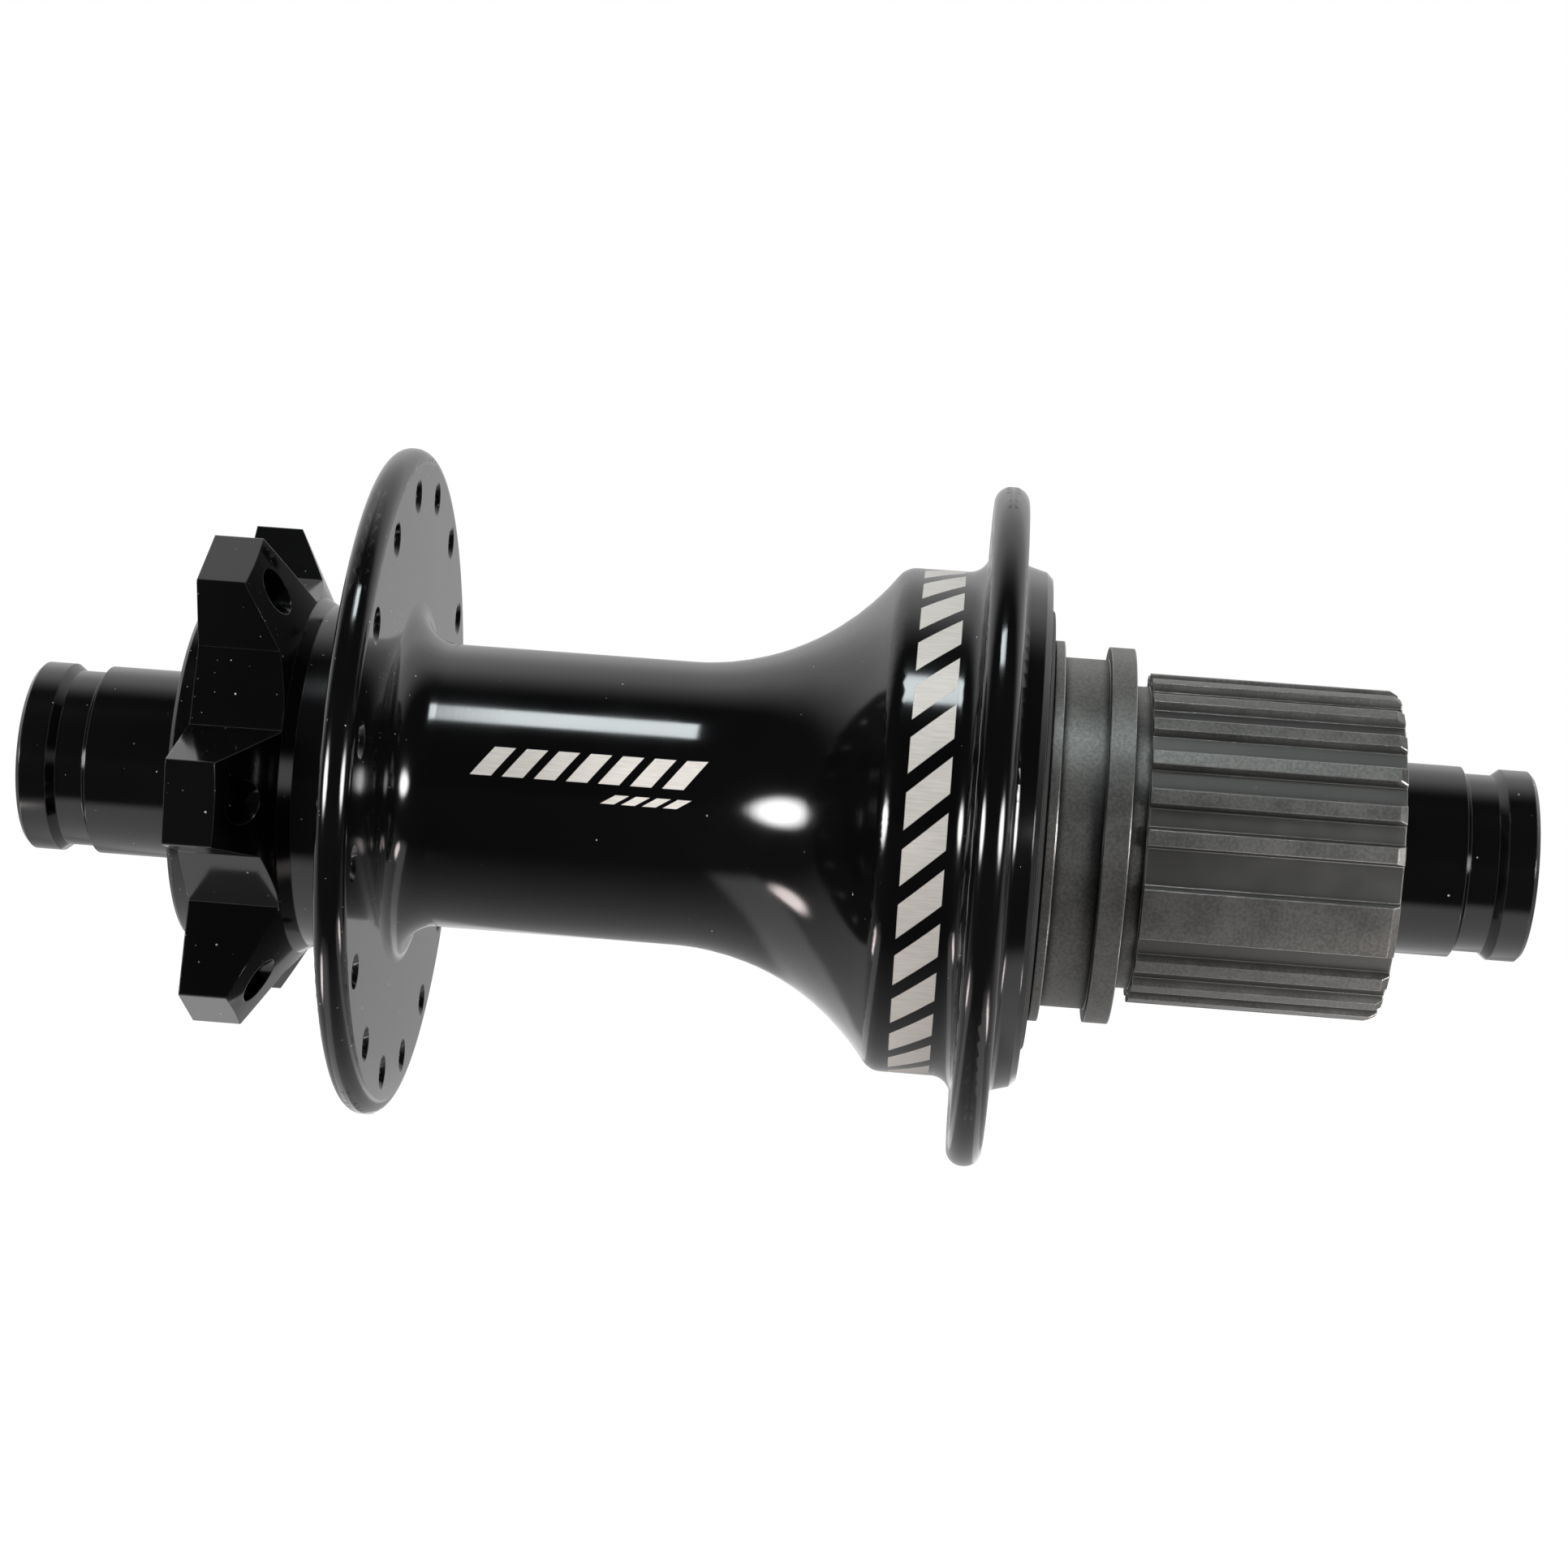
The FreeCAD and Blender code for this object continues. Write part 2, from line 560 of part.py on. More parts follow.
def hub_shell():
    """One-piece shell: rotor lugs, barrel, two spoke flanges, slim tube, flare and drum."""
    disc_outer = "(hub.disc_flange_station + hub.disc_half_thickness)"
    disc_inner = "(hub.disc_flange_station - hub.disc_half_thickness)"
    drive_inner = "-(hub.drive_flange_station - hub.drive_half_thickness)"
    drive_outer = "-(hub.drive_flange_station + hub.drive_half_thickness)"
    body = turned("hub_shell", [
        ("hub.shell_seat_radius", "hub.pilot_end - hub.edge_break"),
        ("hub.shell_seat_radius + hub.edge_break", "hub.pilot_end"),
        ("hub.pilot_radius - hub.edge_break", "hub.pilot_end"),
        ("hub.pilot_radius", "hub.pilot_end - hub.edge_break"),
        ("hub.pilot_radius", "hub.rotor_face"),
        ("hub.lug_blank_radius", "hub.rotor_face"),
        ("hub.lug_blank_radius", "hub.lug_back_tip"),
        ("hub.lug_foot_radius", "hub.lug_foot_station"),
        ("hub.barrel_radius", "hub.barrel_start"),
        ("hub.barrel_radius", disc_outer),
        ("hub.disc_flange_radius", disc_outer),
        ("hub.disc_flange_radius", disc_inner),
        ("hub.tube_radius", disc_inner),
        ("hub.tube_radius", "-hub.flare_corner_station"),
        ("hub.drum_radius", "-hub.drum_start"),
        ("hub.drum_radius", drive_inner),
        ("hub.drive_flange_radius", drive_inner),
        ("hub.drive_flange_radius", drive_outer),
        ("hub.collar_root_radius", drive_outer),
        ("hub.collar_radius", "-hub.shell_end + hub.collar_break"),
        ("hub.collar_radius - hub.collar_break", "-hub.shell_end"),
        ("hub.cavity_radius", "-hub.shell_end"),
        ("hub.cavity_radius", "-hub.cavity_start"),
        ("hub.shell_seat_radius", "-hub.cavity_start"),
        ("hub.shell_seat_radius", "-hub.drive_bearing_inner"),
        ("hub.shell_bore_radius", "-hub.drive_bearing_inner"),
        ("hub.shell_bore_radius", "hub.disc_bearing_inner"),
        ("hub.shell_seat_radius", "hub.disc_bearing_inner"),
    ])
    doc.recompute()
    fillets = [
        ("flare", "hub.flare_fillet", [("hub.tube_radius", "-hub.flare_corner_station")]),
        ("drum", "hub.drum_fillet", [("hub.drum_radius", "-hub.drum_start")]),
        ("disc_root", "hub.disc_root_fillet", [("hub.tube_radius", disc_inner)]),
        ("barrel_root", "hub.barrel_fillet", [("hub.barrel_radius", disc_outer)]),
        ("drum_root", "hub.drum_root_fillet", [("hub.drum_radius", drive_inner)]),
        ("collar", "hub.collar_fillet", [("hub.collar_root_radius", drive_outer)]),
        ("disc_rim", "hub.disc_rim_fillet", [
            ("hub.disc_flange_radius", disc_outer),
            ("hub.disc_flange_radius", disc_inner),
        ]),
        ("drive_rim", "hub.drive_rim_fillet", [
            ("hub.drive_flange_radius", drive_inner),
            ("hub.drive_flange_radius", drive_outer),
        ]),
    ]
    for name, size, places in fillets:
        round_edges(body, name, ring_edges(body.Tip.Shape, places), size)
    rotor_lugs(body)
    spoke_holes(body, "disc", "hub.disc_flange_station")
    spoke_holes(body, "drive", "-hub.drive_flange_station")


def rotor_lugs(body):
    """Six skewed gaps leave six lugs, each drilled and tapped for a rotor bolt."""
    first = "-hub.rotor_face - hub.edge_break"
    lug_turn = "-hub.lug_angle"
    step = "(360 / hub.lug_count)"
    tip = "hub.lug_tip_radius"
    half = "hub.lug_half_width"
    overlap = "hub.gap_overlap"
    corners = [
        (tip, overlap),
        (tip, f"-{half}"),
        ("hub.gap_near_out", "-hub.gap_near_across"),
        ("hub.gap_far_out", "-hub.gap_far_across"),
        swung(tip, half, step),
        swung(tip, f"-{overlap}", step),
        swung("hub.gap_outside", f"-{overlap}", step),
        ("hub.gap_outside", overlap),
    ]
    gap = cut_across(body, "lug_gap", corners, first, "-hub.gap_end", lug_turn)
    around(body, "lug_gaps", [gap], "hub.lug_count")
    doc.recompute()
    corner = math.hypot(number(tip), number(half))
    round_edges(body, "lug_corners", axial_edges(body.Tip.Shape, corner), "hub.lug_tip_fillet")
    hole_sketch = cross_sketch(body, "bolt_hole", first, lug_turn)
    circle(hole_sketch, "hub.bolt_circle_radius", "0", "hub.bolt_hole_radius")
    hole = pocket(body, "bolt_hole", hole_sketch, f"-hub.lug_foot_station - ({first})")
    around(body, "bolt_holes", [hole], "hub.lug_count")


def swung(out, across, angle):
    """Place of (out, across) after a turn by the angle towards minus y."""
    return (
        f"{out} * cos({angle}) + {across} * sin({angle})",
        f"{across} * cos({angle}) - {out} * sin({angle})",
    )


def axial_edges(shape, radius):
    """Names of the straight edges parallel to the axis at a given radius."""
    names = []
    for i, edge in enumerate(shape.Edges, start=1):
        if not isinstance(edge.Curve, Part.Line):
            continue
        first, last = [vertex.Point for vertex in edge.Vertexes]
        if math.hypot(first.x - last.x, first.z - last.z) > 1e-4:
            continue
        if abs(math.hypot(first.x, first.z) - radius) < 1e-3:
            names.append(f"Edge{i}")
    return names


def spoke_holes(body, side, station):
    """Ring of spoke holes through one flange, countersunk on both faces."""
    half = f"hub.{side}_half_thickness"
    reach = f"({half} + hub.spoke_sink)"
    axis = f"hub.{side}_spoke_circle"
    plain = f"{axis} + hub.spoke_hole_radius"
    wide = f"{axis} + hub.spoke_hole_radius + 2 * hub.spoke_sink"
    inner_sink = f"({half} - hub.spoke_sink)"
    name = f"{side}_spoke"
    sketch = new_sketch(body, name, "XY_Plane", turn_about_axis(f"hub.{side}_spoke_angle"))
    outline(sketch, [
        (axis, f"{station} - {reach}"),
        (wide, f"{station} - {reach}"),
        (plain, f"{station} - {inner_sink}"),
        (plain, f"{station} + {inner_sink}"),
        (wide, f"{station} + {reach}"),
        (axis, f"{station} + {reach}"),
    ])
    hole = body.newObject("PartDesign::Groove", f"{body.Name}_{name}_hole")
    hole.Profile = sketch
    hole.ReferenceAxis = (sketch, ["Edge6"])
    hole.Angle = 360.0
    body.Tip = hole
    around(body, f"{name}_holes", [hole], "hub.spoke_count")


def freehub_body():
    """Aluminium body that carries the cassette and holds the pawls."""
    corners = [
        ("hub.freehub_seat_radius", "hub.carrier_start"),
        ("hub.carrier_radius - hub.edge_break", "hub.carrier_start"),
        ("hub.carrier_radius", "hub.carrier_start + hub.edge_break"),
        ("hub.carrier_radius", "hub.carrier_end"),
        ("hub.neck_radius", "hub.carrier_end"),
        ("hub.neck_radius", "hub.shoulder_start"),
        ("hub.shoulder_radius", "hub.shoulder_start"),
        ("hub.shoulder_radius", "hub.shoulder_end"),
        ("hub.hub_cone_radius", "hub.shoulder_end"),
        ("hub.hub_cone_radius", "hub.stop_start"),
        ("hub.stop_radius", "hub.stop_start"),
        ("hub.stop_radius", "hub.stop_end"),
        ("hub.relief_radius", "hub.stop_end"),
        ("hub.relief_radius", "hub.spline_start"),
        ("hub.spline_tip_radius", "hub.spline_start"),
        ("hub.spline_tip_radius", "hub.spline_end - hub.spline_break"),
        ("hub.spline_tip_radius - hub.edge_break", "hub.spline_end"),
        ("hub.mouth_radius + hub.edge_break", "hub.spline_end"),
        ("hub.mouth_radius", "hub.spline_end - hub.edge_break"),
        ("hub.mouth_radius", "hub.mouth_start"),
        ("hub.freehub_seat_radius", "hub.mouth_start"),
        ("hub.freehub_seat_radius", "hub.clip_groove_start + hub.clip_thickness + hub.ball_gap"),
        ("hub.clip_groove_radius", "hub.clip_groove_start + hub.clip_thickness + hub.ball_gap"),
        ("hub.clip_groove_radius", "hub.clip_groove_start"),
        ("hub.freehub_seat_radius", "hub.clip_groove_start"),
        ("hub.freehub_seat_radius", "hub.outboard_bearing_inner"),
        ("hub.freehub_bore_radius", "hub.outboard_bearing_inner"),
        ("hub.freehub_bore_radius", "hub.inboard_bearing_inner + hub.freehub_bearing_width"),
        ("hub.freehub_seat_radius", "hub.inboard_bearing_inner + hub.freehub_bearing_width"),
    ]
    body = turned("freehub_body", [(radius, f"-({station})") for radius, station in corners])
    splines(body)
    pawl_pockets(body)


def splines(body):
    """Equal grooves between narrow splines, and two odd grooves beside the index spline."""
    grooves = [
        ("equal_groove", "hub.narrow_groove_width", "hub.first_groove_angle"),
        ("index_groove", "hub.index_groove_width", "hub.index_groove_angle"),
        ("lower_groove", "hub.lower_groove_width", "hub.lower_groove_angle"),
    ]
    outside = "hub.spline_tip_radius + 1"
    first = "hub.spline_start - hub.edge_break"
    last = "hub.spline_end + hub.edge_break"
    for name, width, turn in grooves:
        half = f"{width} / 2"
        floor = f"({half} - hub.groove_flank)"
        corners = [
            ("hub.spline_root_radius", f"-{floor}"),
            ("hub.spline_tip_radius", f"-{half}"),
            (outside, f"-{half}"),
            (outside, half),
            ("hub.spline_tip_radius", half),
            ("hub.spline_root_radius", floor),
        ]
        cut = cut_across(body, name, corners, first, last, turn)
        if name == "equal_groove":
            extent = "hub.spline_pitch * (hub.narrow_grooves - 1)"
            around(body, "equal_grooves", [cut], "hub.narrow_grooves", extent)


def pawl_pockets(body):
    """Three pockets: a round socket for the heel and a slot in which the arm swings."""
    socket_sketch = cross_sketch(body, "socket", "hub.pawl_room_start")
    circle(socket_sketch, "hub.pivot_radius", "0", "hub.heel_radius + hub.heel_gap")
    depth = "hub.carrier_end - hub.pawl_room_start"
    socket = pocket(body, "socket", socket_sketch, depth)
    slot = cut_across(body, "arm_slot", ARM_SLOT, "hub.pawl_room_start", "hub.carrier_end")
    around(body, "pawl_pockets", [socket, slot], "hub.pawl_count")


def ratchet_ring():
    """Steel ring fixed in the shell, with teeth that let the shell run ahead of the pawls."""
    body = turned("ratchet_ring", [
        ("hub.tooth_tip_radius", "-hub.ring_start"),
        ("hub.cavity_radius - hub.press_gap", "-hub.ring_start"),
        ("hub.cavity_radius - hub.press_gap", "-hub.carrier_end"),
        ("hub.tooth_tip_radius", "-hub.carrier_end"),
    ])
    first = "hub.ring_start - hub.edge_break"
    last = "hub.carrier_end + hub.edge_break"
    valley = cut_across(body, "valley", TOOTH_VALLEY, first, last)
    around(body, "teeth", [valley], "hub.tooth_count")


def pawls():
    """Three pawls, folded down; each swings outward about its round heel."""
    for i in range(PAWLS):
        label = f"pawl_{i + 1}"
        body = new_body(label)
        arm_sketch = cross_sketch(body, "arm", "hub.pawl_start")
        outline(arm_sketch, PAWL_ARM)
        pad(body, "arm", arm_sketch)
        heel_sketch = cross_sketch(body, "heel", "hub.pawl_start")
        circle(heel_sketch, "hub.pivot_radius", "0", "hub.heel_radius")
        pad(body, "heel", heel_sketch)
        turn = FreeCAD.Rotation(FreeCAD.Vector(0, 1, 0), 360.0 * i / PAWLS)
        body.Placement = FreeCAD.Placement(FreeCAD.Vector(), turn)


def pad(body, name, sketch):
    """Extrude a pawl cross-section toward the drive side."""
    feature = body.newObject("PartDesign::Pad", f"{body.Name}_{name}_pad")
    feature.Profile = sketch
    feature.setExpression("Length", "hub.pawl_end - hub.pawl_start")
    body.Tip = feature


def pawl_springs():
    """Three small leaf springs, one lying in the floor of each pawl pocket."""
    body = new_body("pawl_springs")
    sketch = cross_sketch(body, "leaf", "hub.pawl_start")
    outline(sketch, SPRING_LEAF)
    pad(body, "leaf", sketch)
    around(body, "leaves", [body.Tip], "hub.pawl_count")


def rubber_seals():
    """Lip seals that close the two ends of the shell."""
    turned("drive_side_seal", [
        ("hub.mouth_seal_lip", "-hub.mouth_seal_start - hub.lip_setback"),
        ("hub.mouth_seal_lip + hub.lip_height", "-hub.mouth_seal_start"),
        ("hub.cavity_radius - hub.press_gap", "-hub.mouth_seal_start"),
        ("hub.cavity_radius - hub.press_gap", "-hub.mouth_seal_end + hub.seal_heel"),
        ("hub.cavity_radius - hub.edge_break", "-hub.mouth_seal_end"),
        ("hub.mouth_seal_dish", "-hub.mouth_seal_end"),
        ("hub.mouth_seal_lip + hub.lip_width", "-hub.mouth_seal_end + hub.edge_break"),
        ("hub.mouth_seal_lip", "-hub.mouth_seal_end + hub.edge_break"),
    ])
    turned("disc_side_seal", [
        ("hub.end_seal_lip", "hub.end_seal_start + hub.lip_setback"),
        ("hub.end_seal_lip + hub.lip_height", "hub.end_seal_start"),
        ("hub.shell_seat_radius - hub.press_gap", "hub.end_seal_start"),
        ("hub.shell_seat_radius - hub.press_gap", "hub.end_seal_end - hub.seal_heel"),
        ("hub.shell_seat_radius - hub.edge_break", "hub.end_seal_end"),
        ("hub.end_seal_lip + hub.lip_width", "hub.end_seal_end"),
        ("hub.end_seal_lip", "hub.end_seal_end - hub.lip_setback"),
    ])


def circlip():
    """Open spring ring that holds the outboard bearing in the freehub body."""
    outside = "hub.clip_groove_radius - hub.slip_gap"
    first = "-hub.clip_groove_start"
    last = "-hub.clip_groove_start - hub.clip_thickness"
    turned("bearing_circlip", [
        ("hub.clip_inner_radius", first),
        (outside, first),
        (outside, last),
        ("hub.clip_inner_radius", last),
    ], "hub.clip_sweep")


def write_parts():
    """Check every object, then write each sub-part to its own file."""
    for item in doc.Objects:
        if "Invalid" in item.State or "Error" in item.State:
            raise RuntimeError(f"{item.Label} did not recompute: {item.State}")
    for item in made:
        if item.Shape.isNull() or not item.Shape.isValid():
            raise RuntimeError(f"{item.Label} has no valid shape")
    os.makedirs("parts", exist_ok=True)
    for item in made:
        item.Shape.exportStep(f"parts/{item.Label}.step")


axle()
end_caps()
cap_o_rings()
spacers()
bearings()
hub_shell()
freehub_body()
ratchet_ring()
pawls()
pawl_springs()
rubber_seals()
circlip()
doc.recompute()
write_parts()
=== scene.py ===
import math
import bpy
from mathutils import Matrix, Vector

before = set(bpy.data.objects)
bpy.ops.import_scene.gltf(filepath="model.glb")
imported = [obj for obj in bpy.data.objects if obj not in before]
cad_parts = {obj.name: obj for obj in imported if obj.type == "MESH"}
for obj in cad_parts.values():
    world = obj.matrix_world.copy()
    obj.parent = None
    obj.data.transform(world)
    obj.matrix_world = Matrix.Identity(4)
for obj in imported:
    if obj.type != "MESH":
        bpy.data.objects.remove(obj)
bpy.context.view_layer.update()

# A rear bicycle hub on its side. The axle lies along Y, the brake side is +Y and the freehub is -Y.
# Lengths are metres. The camera looks along +X, so that -X is its side of the hub.


# ---------------------------------------------------------------- camera

CAMERA_DISTANCE = 0.3205
CAMERA_STATION = -0.0167
# Turns away from level and square to the axle, in radians.
CAMERA_YAW = -0.0495
CAMERA_PITCH = -0.0083
CAMERA_ROLL = -0.0758
# Lens and sensor in millimetres.
CAMERA_LENS = 74.02
SENSOR_WIDTH = 36.0
CLIP_START, CLIP_END = 0.01, 20.0
# Right is -Y, up is +Z and the lens points along +X.
LEVEL_CAMERA = Matrix(((0, 0, -1), (-1, 0, 0), (0, 1, 0)))


def make_camera():
    """The camera stands level with the axle, a little towards the freehub, and leans over slightly."""
    data = bpy.data.cameras.new("camera")
    data.sensor_width = SENSOR_WIDTH
    data.lens = CAMERA_LENS
    data.clip_start = CLIP_START
    data.clip_end = CLIP_END
    turn = (
        LEVEL_CAMERA
        @ Matrix.Rotation(-CAMERA_YAW, 3, "Y")
        @ Matrix.Rotation(-CAMERA_PITCH, 3, "X")
        @ Matrix.Rotation(-CAMERA_ROLL, 3, "Z")
    )
    camera = bpy.data.objects.new("camera", data)
    camera.matrix_world = Matrix.Translation((-CAMERA_DISTANCE, CAMERA_STATION, 0)) @ turn.to_4x4()
    bpy.context.scene.collection.objects.link(camera)
    bpy.context.scene.camera = camera


# ---------------------------------------------------------------- nodes

class Nodes:
    """A node tree under construction, with short calls that add a node and link what it is given."""

    def __init__(self, tree):
        self.tree = tree
        self.tree.nodes.clear()

    def add(self, kind, inputs=(), **settings):
        """One node. inputs maps a socket's name or number to a value or to another node's output."""
        made = self.tree.nodes.new(kind)
        for key, value in settings.items():
            setattr(made, key, value)
        for key, value in dict(inputs).items():
            if isinstance(value, bpy.types.NodeSocket):
                self.tree.links.new(value, made.inputs[key])
            else:
                made.inputs[key].default_value = value
        return made

    def maths(self, operation, *values, clamp=False):
        """The result of a Math node."""
        return self.add("ShaderNodeMath", enumerate(values), operation=operation, use_clamp=clamp).outputs[0]

    def product(self, first, *others):
        """All the values multiplied."""
        for value in others:
            first = self.maths("MULTIPLY", first, value)
        return first

    def ramp(self, value, low, high, to_low=0.0, to_high=1.0):
        """value between low and high, eased into a new range and held at its ends."""
        made = self.add("ShaderNodeMapRange", {"Value": value, "From Min": low, "From Max": high,
                                               "To Min": to_low, "To Max": to_high},
                        interpolation_type="SMOOTHSTEP")
        return made.outputs["Result"]

    def share(self, value, start, end):
        """value as a share of the way from start to end, not held at either."""
        return self.add("ShaderNodeMapRange", {"Value": value, "From Min": start, "From Max": end},
                        clamp=False).outputs["Result"]

    def within(self, value, low, high, soft):
        """1 between low and high, 0 outside, with soft edges."""
        rise = self.ramp(value, low - soft, low + soft)
        fall = self.ramp(value, high - soft, high + soft, 1.0, 0.0)
        return self.product(rise, fall)

    def blend(self, factor, first, second):
        """Two colours mixed by a factor. The Mix node has its colours in sockets 6 and 7."""
        return self.add("ShaderNodeMix", {0: factor, 6: first, 7: second}, data_type="RGBA").outputs[2]

    def axes(self, space):
        """The X, Y and Z of one of the Texture Coordinate node's outputs."""
        point = self.add("ShaderNodeTexCoord").outputs[space]
        return self.add("ShaderNodeSeparateXYZ", {0: point}).outputs

    def camera_sees(self):
        """1 for what the camera sees itself, 0 for light and for reflections."""
        return self.add("ShaderNodeLightPath").outputs["Is Camera Ray"]


def new_material(name):
    """A material and its empty node tree."""
    material = bpy.data.materials.new(name)
    material.use_nodes = True
    return material, Nodes(material.node_tree)


def grey(value):
    return (value, value, value, 1.0)


# ---------------------------------------------------------------- surroundings

# A direction's X, from -1 towards the camera to 1 straight away from it, where the room turns white.
ROOM_EDGE = (-0.16, 0.42)
DARK_SURROUND = 0.03
WHITE_SURROUND = 1.05
# The white is weaker straight behind the hub, so that its grazing outlines stay dark.
DIP_EDGE = (0.75, 1.0)
GRAZING_DIP = 0.42

FLOOR_DROP = 0.12
FLOOR_SIZE = 8.0
# The floor's glow: as the camera sees it, and as it lights the hub from its far part and its near part.
# The near part turns into the far part between these two values of X.
FLOOR_PALE = 1.05
FLOOR_BOUNCE = 0.54
FLOOR_SHADE = 0.05
SHADE_EDGE = (-0.11, 0.05)
# Under each end of the hub a band of the floor, its wing, is lit further towards the camera. The wing
# starts and stops at these distances to each side of the hub's middle, and sets in over this much of X.
WING_START = (0.050, 0.064)
WING_STOP = (0.100, 0.125)
WING_REACH = (-0.105, -0.065)
WING_BOUNCE = 1.1


def make_world():
    """White surroundings behind the hub that fade to a dark room on the camera's side."""
    world = bpy.data.worlds.new("studio")
    world.use_nodes = True
    bpy.context.scene.world = world
    make = Nodes(world.node_tree)
    away = make.axes("Generated")["X"]
    surround = make.ramp(away, *ROOM_EDGE, DARK_SURROUND, WHITE_SURROUND)
    dip = make.ramp(away, *DIP_EDGE, 0.0, GRAZING_DIP)
    strength = make.maths("MAXIMUM", make.maths("SUBTRACT", surround, dip), make.camera_sees())
    background = make.add("ShaderNodeBackground", {"Color": grey(1.0), "Strength": strength})
    make.add("ShaderNodeOutputWorld", {"Surface": background.outputs[0]})


def floor_material():
    """An even pale glow to the camera, which lights the hub less from the camera's side."""
    material, make = new_material("pale_floor")
    axes = make.axes("Object")
    aside = make.maths("ABSOLUTE", axes["Y"])
    wing = make.product(make.ramp(aside, *WING_START), make.ramp(aside, *WING_STOP, 1.0, 0.0),
                        make.ramp(axes["X"], *WING_REACH, 0.0, WING_BOUNCE))
    bounce = make.maths("MAXIMUM", make.ramp(axes["X"], *SHADE_EDGE, FLOOR_SHADE, FLOOR_BOUNCE), wing)
    pale = make.product(make.camera_sees(), FLOOR_PALE)
    glow = make.add("ShaderNodeEmission", {"Strength": make.maths("MAXIMUM", bounce, pale)})
    make.add("ShaderNodeOutputMaterial", {"Surface": glow.outputs[0]})
    return material


def make_floor():
    """A wide flat floor below the hub."""
    half = FLOOR_SIZE / 2
    corners = [(-half, -half, 0), (half, -half, 0), (half, half, 0), (-half, half, 0)]
    mesh = bpy.data.meshes.new("floor")
    mesh.from_pydata(corners, [], [(0, 1, 2, 3)])
    mesh.materials.append(floor_material())
    floor = bpy.data.objects.new("floor", mesh)
    floor.location = (0, 0, -FLOOR_DROP)
    bpy.context.scene.collection.objects.link(floor)


# ---------------------------------------------------------------- lights

# Azimuths turn from the camera's side towards the brake side, elevations rise from level, in degrees.
# The strip lies above the camera, between these stations on the axle.
STRIP_LOW, STRIP_HIGH = -0.034, 0.128
STRIP_THICKNESS = 0.140
STRIP_ELEVATION = 59.6
STRIP_DISTANCE = 0.6
STRIP_POWER = 1.22
SIDE_AZIMUTH = 51
SIDE_ELEVATION = -1
SIDE_DISTANCE = 0.42
SIDE_SIZE = (0.27, 0.153)
SIDE_POWER = 2.85
LOW_AZIMUTH = 74
LOW_ELEVATION = -42
LOW_DISTANCE = 0.17
LOW_SIZE = (0.075, 0.028)
LOW_POWER = 0.08
# Shares of an oval light's width from its centre at which it starts to fade and is dark.
RIM_FADE = (0.2, 0.5)
COOL_WHITE = (0.90, 0.985, 1.0)
PLAIN_WHITE = (1.0, 1.0, 1.0)
WARM_WHITE = (1.0, 0.88, 0.87)


def fade_out(data):
    """Let a light's strength fall off towards its rim, as a soft box's does."""
    data.use_nodes = True
    make = Nodes(data.node_tree)
    across = make.add("ShaderNodeSeparateXYZ", {0: make.add("ShaderNodeNewGeometry").outputs["Parametric"]})
    sides = [make.maths("POWER", make.maths("SUBTRACT", across.outputs[axis], 0.5), 2.0) for axis in "XY"]
    off_centre = make.maths("SQRT", make.maths("ADD", *sides))
    emission = make.add("ShaderNodeEmission", {"Strength": make.ramp(off_centre, *RIM_FADE, 1.0, 0.0)})
    make.add("ShaderNodeOutputLight", {"Surface": emission.outputs[0]})


def soft_light(name, shape, azimuth, elevation, distance, size, power, colour, station=0.0):
    """A flat light that faces the axle at a station. An oval one, shape ELLIPSE, fades to its rim."""
    data = bpy.data.lights.new(name, "AREA")
    data.shape = shape
    data.size, data.size_y = size
    data.energy = power
    data.color = colour
    if shape == "ELLIPSE":
        fade_out(data)
    turn, rise = math.radians(azimuth), math.radians(elevation)
    towards = Vector((-math.cos(turn) * math.cos(rise), math.sin(turn) * math.cos(rise), math.sin(rise)))
    light = bpy.data.objects.new(name, data)
    light.rotation_mode = "QUATERNION"
    light.rotation_quaternion = towards.to_track_quat("Z", "Y")
    light.location = Vector((0, station, 0)) + towards * distance
    light.visible_camera = False
    bpy.context.scene.collection.objects.link(light)


def make_lights():
    """A strip above the camera, a soft light on each side of it and a faint one low on each side."""
    strip_size = (STRIP_HIGH - STRIP_LOW, STRIP_THICKNESS)
    soft_light("strip_light", "RECTANGLE", 0, STRIP_ELEVATION, STRIP_DISTANCE, strip_size, STRIP_POWER,
               COOL_WHITE, station=(STRIP_LOW + STRIP_HIGH) / 2)
    for side, name in ((1, "brake_side"), (-1, "drive_side")):
        soft_light(f"{name}_light", "ELLIPSE", side * SIDE_AZIMUTH, SIDE_ELEVATION, SIDE_DISTANCE,
                   SIDE_SIZE, SIDE_POWER, PLAIN_WHITE)
        soft_light(f"{name}_low_light", "ELLIPSE", side * LOW_AZIMUTH, LOW_ELEVATION, LOW_DISTANCE,
                   LOW_SIZE, LOW_POWER, WARM_WHITE)


# ---------------------------------------------------------------- surface detail

# Most of a noise texture's values lie between these.
NOISE_SPREAD = (0.3, 0.7)
# Dot products of the true and the rounded normal at which an edge begins and is full.
EDGE_TURN = (0.99, 0.90)
# Dust lies thicker in drifts: their blotches per metre, the noise values between which they thicken,
# and the share of the dust that is left between them.
DRIFT_SCALE = 45.0
DRIFT_EDGE = (0.42, 0.62)
DRIFT_THIN = 0.4
# A speck's strength is this faint or more, and few are strong.
FAINTEST = 0.12
FAINT_POWER = 3.0


def finish_material(make, **inputs):
    """The Principled shader and the output. A key's underscores stand for spaces."""
    values = {key.replace("_", " "): value for key, value in inputs.items()}
    shader = make.add("ShaderNodeBsdfPrincipled", values)
    make.add("ShaderNodeOutputMaterial", {"Surface": shader.outputs[0]})


def rest_point(make):
    """Where a point is on its piece at rest."""
    return make.add("ShaderNodeTexCoord").outputs["Object"]


